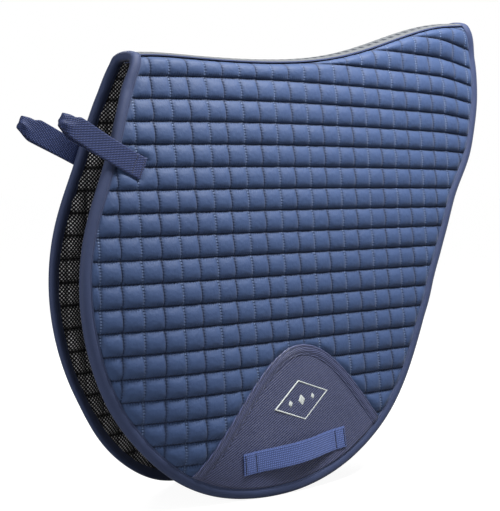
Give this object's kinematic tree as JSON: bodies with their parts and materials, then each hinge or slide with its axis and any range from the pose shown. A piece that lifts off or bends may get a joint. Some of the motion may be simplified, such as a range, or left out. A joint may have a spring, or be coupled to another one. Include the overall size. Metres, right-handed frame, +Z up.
{
  "type": "saddle pad",
  "caption": "Quilted, forward-cut saddle pad with a contoured spine, two hanging panels that fold out, girth loops on bottom patches and folded billet loops at the front.",
  "frame": {"origin": "on the centre plane, half way along the pad with its billet loops, level with the lowest edge of the panels", "axes": "+X towards the tail, +Y towards the off side (the horse's right), +Z up; the near side is -Y"},
  "size_m": [0.6801, 0.1644, 0.5796],
  "materials": {
    "shell_cotton": "quilted cotton with a soft sheen",
    "foam_wadding": "open-cell foam",
    "spacer_mesh": "black spacer mesh",
    "binding_tape": "matt navy binding tape",
    "patch_twill": "diagonal twill with a low sheen",
    "girth_webbing": "waffle-woven webbing",
    "billet_webbing": "coarse-woven webbing",
    "navy_thread": "polyester thread",
    "pale_thread": "satin-stitched thread",
    "spine_webbing": "grey woven tape with a plain check and navy selvedges"
  },
  "bodies": {
    "spine": {"spine_tape": "spine_webbing", "spine_lining_tape": "binding_tape", "front_arch_binding": "binding_tape", "rear_arch_binding": "binding_tape", "near_outer_shell_crest": "shell_cotton", "near_foam_core_crest": "foam_wadding", "near_mesh_lining_crest": "spacer_mesh", "off_outer_shell_crest": "shell_cotton", "off_foam_core_crest": "foam_wadding", "off_mesh_lining_crest": "spacer_mesh"},
    "near_flap": {"near_outer_shell": "shell_cotton", "near_foam_core": "foam_wadding", "near_mesh_lining": "spacer_mesh", "near_edge_binding": "binding_tape", "near_girth_patch": "patch_twill", "near_girth_loop": "girth_webbing", "near_girth_loop_bar_tacks": "navy_thread", "near_patch_emblem": "pale_thread", "near_billet_loop_tab": "billet_webbing", "near_billet_loop_bar_tacks": "navy_thread"},
    "off_flap": {"off_outer_shell": "shell_cotton", "off_foam_core": "foam_wadding", "off_mesh_lining": "spacer_mesh", "off_edge_binding": "binding_tape", "off_girth_patch": "patch_twill", "off_girth_loop": "girth_webbing", "off_girth_loop_bar_tacks": "navy_thread", "off_patch_emblem": "pale_thread", "off_billet_loop_tab": "billet_webbing", "off_billet_loop_bar_tacks": "navy_thread"},
    "near_billet": {"near_billet_loop": "billet_webbing"},
    "off_billet": {"off_billet_loop": "billet_webbing"}
  },
  "joints": [
    {"name": "near_flap_fold", "type": "hinge", "parent": "spine", "child": "near_flap", "pos_m": [0.025, -0.0228, 0.494], "axis": [-0.9929, 0, -0.1191], "range_deg": [-3, 85]},
    {"name": "off_flap_fold", "type": "hinge", "parent": "spine", "child": "off_flap", "pos_m": [0.025, 0.0228, 0.494], "axis": [0.9929, 0, 0.1191], "range_deg": [-3, 85]},
    {"name": "near_billet_swing", "type": "hinge", "parent": "near_flap", "child": "near_billet", "pos_m": [-0.24683, -0.03437, 0.38094], "axis": [0.417, 0.0511, 0.9075], "range_deg": [-4, 90]},
    {"name": "off_billet_swing", "type": "hinge", "parent": "off_flap", "child": "off_billet", "pos_m": [-0.24683, 0.03437, 0.38094], "axis": [-0.417, 0.0511, -0.9075], "range_deg": [-4, 90]}
  ]
}
